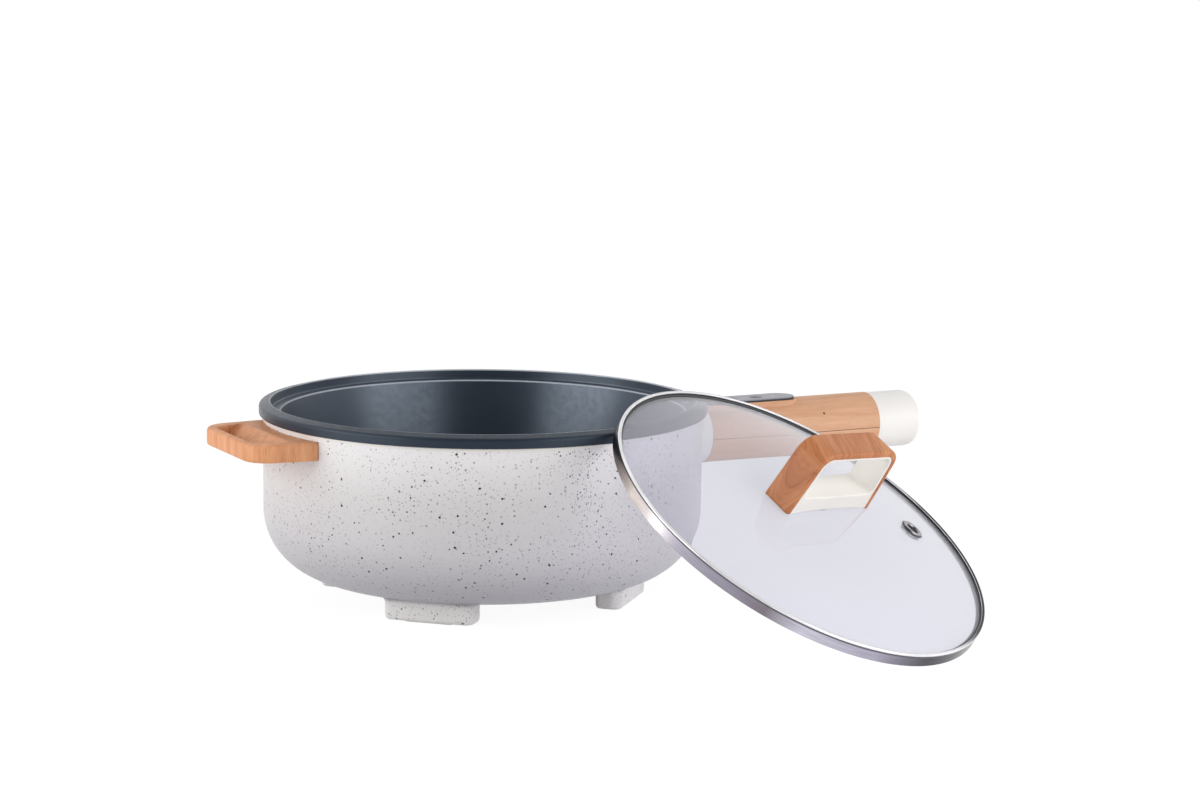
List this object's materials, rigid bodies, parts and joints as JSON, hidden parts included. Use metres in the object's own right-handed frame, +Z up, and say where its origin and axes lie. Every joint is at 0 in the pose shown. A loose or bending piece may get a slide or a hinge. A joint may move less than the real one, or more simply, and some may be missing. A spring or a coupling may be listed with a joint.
{
  "type": "electric skillet",
  "caption": "Round electric skillet: speckled body on feet, dark nonstick pan, wood-grain loop and tube handles, push-button panel and a domed glass lid leaning on the rim.",
  "frame": {"origin": "middle of the object's box, on the table", "axes": "+X along the long handle away from the pot, +Z up"},
  "size_m": [0.525, 0.4703, 0.1446],
  "materials": {
    "nonstick_pan": "satin dark slate nonstick coating",
    "speckled_shell": "satin cream with dark specks",
    "cream_plastic": "satin",
    "wood_grain": "satin printed wood grain",
    "white_plastic": "soft gloss",
    "grey_panel": "soft gloss grey",
    "dark_button": "matt",
    "lamp_lens": "clear amber",
    "lid_glass": "clear, slightly lavender",
    "brushed_rim": "brushed",
    "zinc_steel": "zinc plated",
    "aluminium": "plain",
    "heater_sheath": "heat darkened",
    "ceramic": "plain ceramic",
    "silicone": "matt silicone",
    "black_plastic": "matt",
    "brass_pin": "nickel plated",
    "circuit_board": "solder mask",
    "wire_sleeve": "silicone sleeve"
  },
  "bodies": {
    "base": {"inner_pan": "nonstick_pan", "outer_shell": "speckled_shell", "pan_seal": "silicone", "base_cover": "cream_plastic", "base_screw_1": "zinc_steel", "base_screw_2": "zinc_steel", "base_screw_3": "zinc_steel", "base_screw_4": "zinc_steel", "foot_1": "speckled_shell", "foot_2": "speckled_shell", "foot_3": "speckled_shell", "foot_4": "speckled_shell", "foot_pad_1": "silicone", "foot_pad_2": "silicone", "foot_pad_3": "silicone", "foot_pad_4": "silicone", "heat_plate": "aluminium", "heating_element": "heater_sheath", "heat_shield": "aluminium", "shield_post": "zinc_steel", "shield_nut": "zinc_steel", "thermostat": "black_plastic", "thermal_fuse": "ceramic", "heater_lead_1": "wire_sleeve", "heater_lead_2": "wire_sleeve", "heater_lead_3": "wire_sleeve", "side_handle": "wood_grain", "side_bracket": "zinc_steel", "side_screw_1": "zinc_steel", "side_screw_2": "zinc_steel", "handle_bracket": "zinc_steel", "collar_screw_1": "zinc_steel", "collar_screw_2": "zinc_steel", "handle_collar": "white_plastic", "handle_lower": "wood_grain", "handle_upper": "wood_grain", "bracket_screw": "zinc_steel", "grip_screw_1": "zinc_steel", "grip_screw_2": "zinc_steel", "grip_plug": "black_plastic", "handle_end_cap": "white_plastic", "power_inlet": "black_plastic", "inlet_pin_1": "brass_pin", "inlet_pin_2": "brass_pin", "inlet_pin_3": "brass_pin", "control_panel": "grey_panel", "control_board": "circuit_board", "indicator_lens": "lamp_lens"},
    "lid": {"lid_glass": "lid_glass", "lid_rim": "brushed_rim", "vent_grommet": "brushed_rim", "lid_handle_core": "white_plastic", "lid_handle_strap": "wood_grain", "lid_gasket": "silicone", "lid_washer": "brushed_rim", "lid_screw": "brushed_rim"},
    "low_key": {"low_button": "dark_button"},
    "high_key": {"high_button": "dark_button"}
  },
  "joints": [
    {"name": "lid_lift", "type": "slide", "parent": "base", "child": "lid", "axis": [0.2533, -0.4617, 0.8501], "range_m": [0, 0.3]},
    {"name": "low_press", "type": "slide", "parent": "base", "child": "low_key", "axis": [0, 0, 1], "range_m": [-0.0008, 0], "stiffness_N_per_m": 1500, "springref_m": 0.0002},
    {"name": "high_press", "type": "slide", "parent": "base", "child": "high_key", "axis": [0, 0, 1], "range_m": [-0.0008, 0], "stiffness_N_per_m": 1500, "springref_m": 0.0002}
  ]
}
